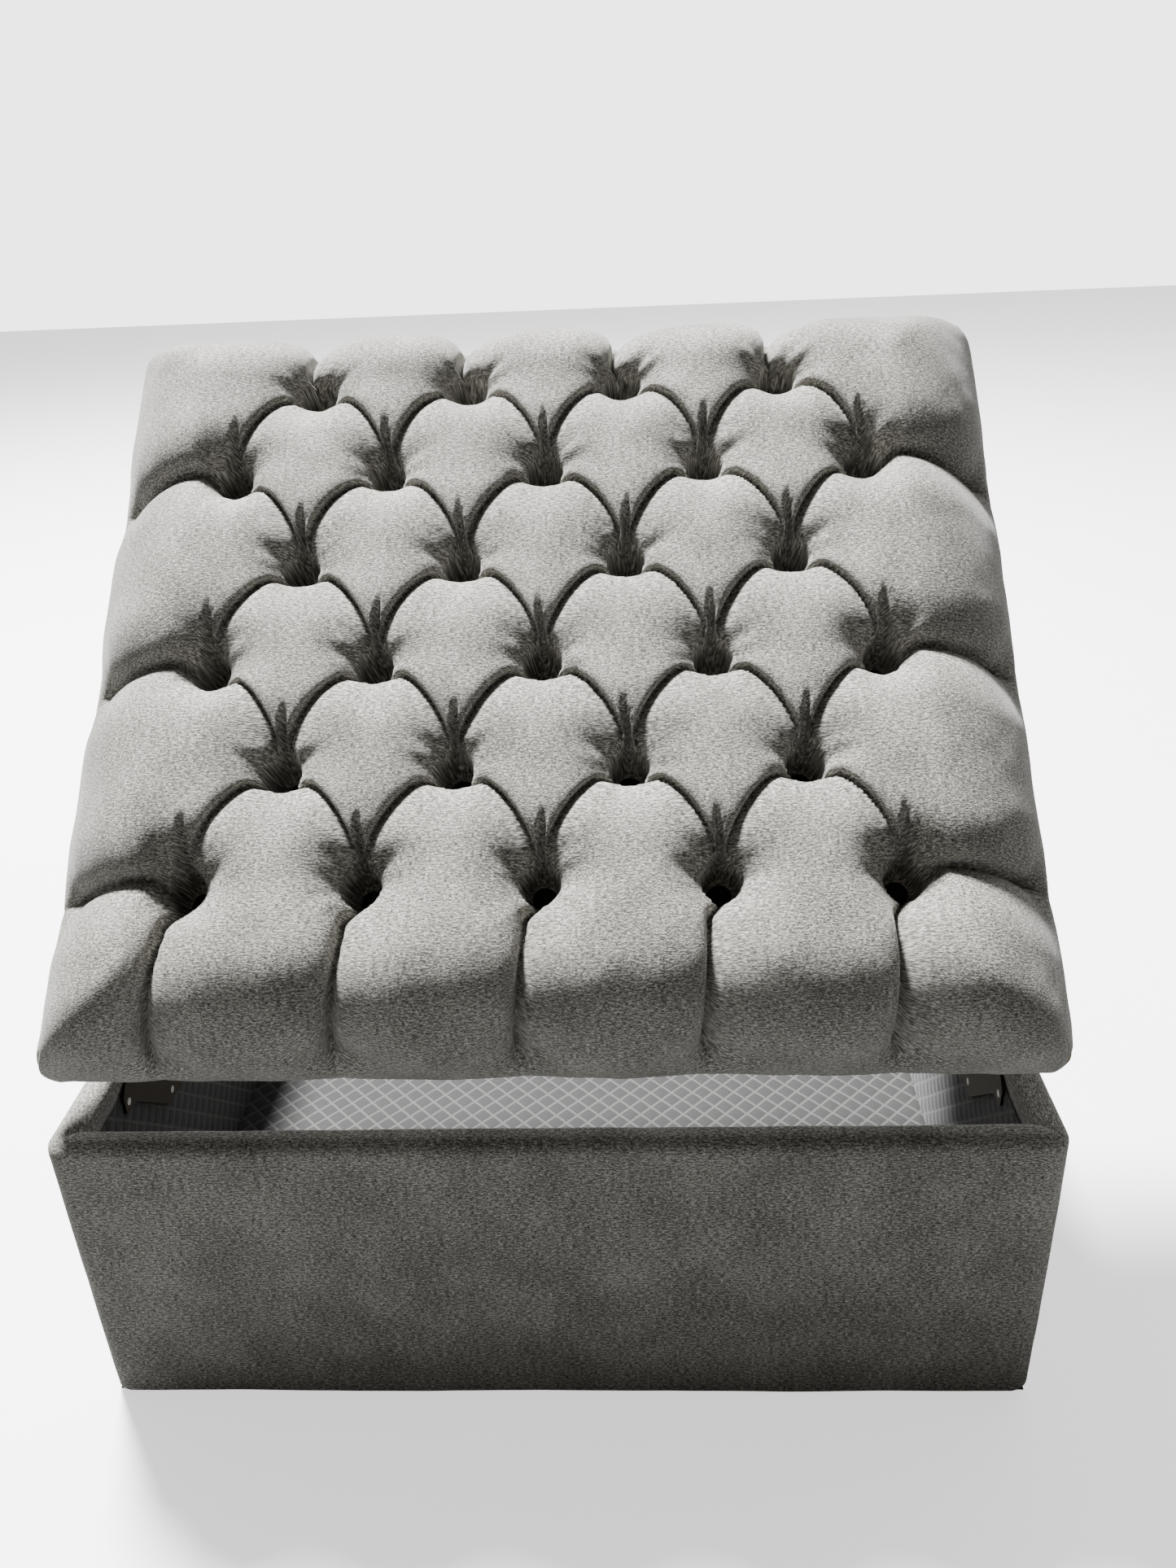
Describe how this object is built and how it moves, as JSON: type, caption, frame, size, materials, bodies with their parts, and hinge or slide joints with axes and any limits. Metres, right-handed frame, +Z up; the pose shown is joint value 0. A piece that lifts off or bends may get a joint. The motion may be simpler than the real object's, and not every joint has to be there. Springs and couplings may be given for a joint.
{
  "type": "storage ottoman",
  "caption": "Upholstered storage ottoman: a padded box with a deep-buttoned, diamond-tufted lid on side lift hinges.",
  "frame": {"origin": "centre of the middle glide's foot, on the floor under the centre of the box", "axes": "+Z up; -Y the opening side, +Y the hinge side; X along the long side of the box; the lid stands open at rest"},
  "size_m": [0.906, 0.7919, 0.9598],
  "materials": {
    "box_fabric": "matte",
    "lid_fabric": "matte",
    "button_fabric": "matte",
    "lining_fabric": "matte",
    "dust_cloth": "matte",
    "foam": "matte",
    "panel_wood": "matte",
    "hinge_steel": "satin",
    "pin_steel": "satin",
    "screw_steel": "satin",
    "glide_plastic": "matte",
    "twine": "matte"
  },
  "bodies": {
    "box": {"box_cover": "box_fabric", "lining_front": "lining_fabric", "lining_rear": "lining_fabric", "lining_left": "lining_fabric", "lining_right": "lining_fabric", "lining_floor": "lining_fabric", "dust_cover": "dust_cloth", "rim_foam": "foam", "front_panel": "panel_wood", "rear_panel": "panel_wood", "left_panel": "panel_wood", "right_panel": "panel_wood", "base_panel": "panel_wood", "base_battens": "panel_wood", "corner_blocks": "panel_wood", "centre_rail": "panel_wood", "wall_plate_left": "hinge_steel", "wall_plate_right": "hinge_steel", "wall_pivot_pins": "pin_steel", "panel_screws": "screw_steel", "wall_plate_screws": "screw_steel", "glide_nails": "screw_steel", "glides": "glide_plastic"},
    "rear_arms": {"rear_arm_left": "hinge_steel", "rear_arm_right": "hinge_steel"},
    "front_arms": {"front_arm_left": "hinge_steel", "front_arm_right": "hinge_steel"},
    "lid": {"lid_board": "panel_wood", "foam_pad": "foam", "tufted_cover": "lid_fabric", "lid_underside_cover": "lining_fabric", "buttons_row_a": "button_fabric", "buttons_row_b": "button_fabric", "buttons_row_c": "button_fabric", "buttons_row_d": "button_fabric", "buttons_row_e": "button_fabric", "buttons_row_f": "button_fabric", "button_ties": "twine", "lid_bracket_left": "hinge_steel", "lid_bracket_right": "hinge_steel", "lid_bracket_screws": "screw_steel", "rear_lid_pins": "pin_steel", "front_lid_pins": "pin_steel"}
  },
  "joints": [
    {"name": "rear_arm_swing", "type": "hinge", "parent": "box", "child": "rear_arms", "pos_m": [0, 0.24917, 0.2946], "axis": [1, 0, 0], "range_deg": [-54.19, 25.23]},
    {"name": "lid_lift", "type": "hinge", "parent": "rear_arms", "child": "lid", "pos_m": [0, 0.29928, 0.37415], "axis": [-1, 0, 0], "range_deg": [-97.14, 45.18]},
    {"name": "front_arm_swing", "type": "hinge", "parent": "box", "child": "front_arms", "pos_m": [0, 0.165, 0.2326], "axis": [1, 0, 0], "range_deg": [-37.31, 17.38]}
  ],
  "couplings": [
    {"joint": "rear_arm_swing", "follows": "lid_lift", "ratio": 0.55733},
    {"joint": "front_arm_swing", "follows": "lid_lift", "ratio": 0.3836}
  ]
}
